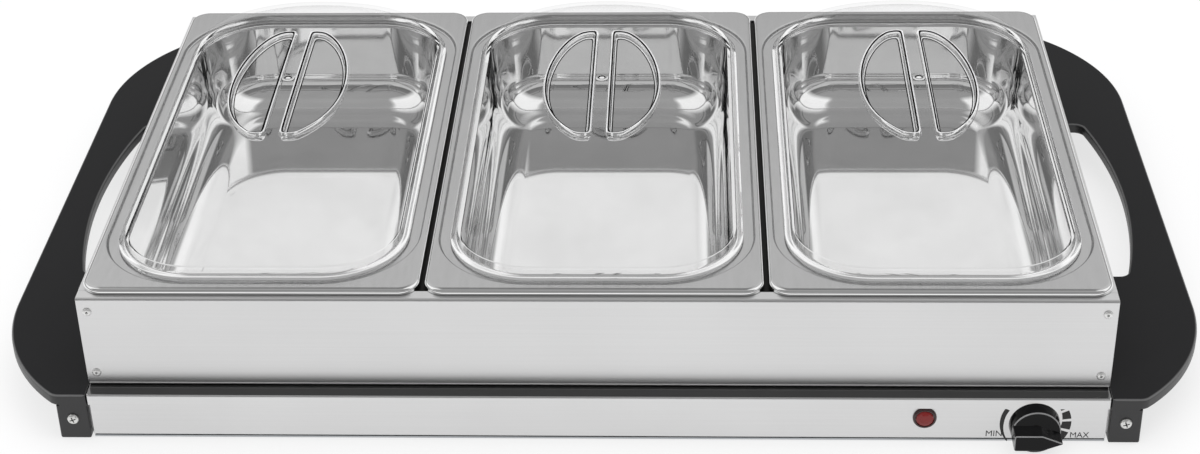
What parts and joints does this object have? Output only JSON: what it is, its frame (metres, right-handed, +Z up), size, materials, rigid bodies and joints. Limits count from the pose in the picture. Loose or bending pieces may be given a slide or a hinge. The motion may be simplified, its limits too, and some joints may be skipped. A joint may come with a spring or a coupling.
{
  "type": "electric buffet food warmer tray",
  "caption": "Low rectangular electric warming tray on moulded end handles, with a lift-off steel rack that holds deep food pans side by side under clear domed lids, a dial and a lamp.",
  "frame": {"origin": "on the table, under the middle of the object's outline", "axes": "+X to the right along the row of pans, +Y to the back, +Z up; the dial is at the front right"},
  "size_m": [0.6546, 0.4346, 0.1252],
  "materials": {
    "steel_polished": "polished stainless steel",
    "steel_satin": "satin stainless steel",
    "steel_plated": "zinc-plated steel",
    "pan_steel": "bright stainless steel, mirror-like inside",
    "screw_steel": "plated screw steel",
    "rivet_aluminium": "plain aluminium",
    "shield_aluminium": "mill finish",
    "heater_sheath": "dark oxidised steel tube",
    "black_plastic": "moulded black plastic with a fine grain",
    "knob_plastic": "smooth black plastic",
    "white_plastic": "off-white electrical plastic",
    "foot_rubber": "soft black rubber",
    "lid_clear": "clear moulded plastic",
    "lamp_ring": "dark red plastic",
    "lamp_red": "faceted red lens",
    "terminal_brass": "machined brass",
    "wire_cover": "silicone-covered lead"
  },
  "bodies": {
    "base": {"top_plate": "steel_polished", "front_panel": "steel_satin", "back_panel": "steel_satin", "left_end_panel": "steel_satin", "right_end_panel": "steel_satin", "bottom_cover": "steel_plated", "cover_screws": "screw_steel", "left_handle": "black_plastic", "right_handle": "black_plastic", "handle_screws": "screw_steel", "foot_pads": "foot_rubber", "heater_element": "heater_sheath", "heater_terminals": "screw_steel", "weld_studs": "screw_steel", "heater_clips": "steel_plated", "shield_spacers": "steel_plated", "heat_shield": "shield_aluminium", "stud_nuts": "screw_steel", "thermostat": "shield_aluminium", "thermostat_screws": "screw_steel", "lamp_bezel": "lamp_ring", "lamp_lens": "lamp_red", "lamp_body": "white_plastic", "lamp_clip": "steel_plated", "cord_bushing": "black_plastic", "terminal_block": "white_plastic", "terminal_screws": "terminal_brass", "thermal_fuse": "shield_aluminium", "fuse_clip": "steel_plated", "internal_wires": "wire_cover"},
    "knob": {"control_knob": "knob_plastic", "thermostat_shaft": "terminal_brass"},
    "rack": {"rack_front": "steel_satin", "rack_back": "steel_satin", "rack_left": "steel_satin", "rack_right": "steel_satin", "rack_rivets": "rivet_aluminium", "divider_left": "steel_satin", "divider_right": "steel_satin"},
    "pan_left": {"pan_left": "pan_steel"},
    "pan_center": {"pan_center": "pan_steel"},
    "pan_right": {"pan_right": "pan_steel"},
    "lid_left": {"lid_left": "lid_clear"},
    "lid_center": {"lid_center": "lid_clear"},
    "lid_right": {"lid_right": "lid_clear"}
  },
  "joints": [
    {"name": "thermostat_turn", "type": "hinge", "parent": "base", "child": "knob", "pos_m": [0.2298, -0.2, 0.0134], "axis": [0, 1, 0], "range_deg": [-225, 45]},
    {"name": "rack_lift", "type": "slide", "parent": "base", "child": "rack", "axis": [0, 0, 1], "range_m": [0, 0.2]},
    {"name": "pan_left_lift", "type": "slide", "parent": "rack", "child": "pan_left", "axis": [0, 0, 1], "range_m": [0, 0.15]},
    {"name": "pan_center_lift", "type": "slide", "parent": "rack", "child": "pan_center", "axis": [0, 0, 1], "range_m": [0, 0.15]},
    {"name": "pan_right_lift", "type": "slide", "parent": "rack", "child": "pan_right", "axis": [0, 0, 1], "range_m": [0, 0.15]},
    {"name": "lid_left_lift", "type": "slide", "parent": "pan_left", "child": "lid_left", "axis": [0, 0, 1], "range_m": [0, 0.15]},
    {"name": "lid_center_lift", "type": "slide", "parent": "pan_center", "child": "lid_center", "axis": [0, 0, 1], "range_m": [0, 0.15]},
    {"name": "lid_right_lift", "type": "slide", "parent": "pan_right", "child": "lid_right", "axis": [0, 0, 1], "range_m": [0, 0.15]}
  ]
}
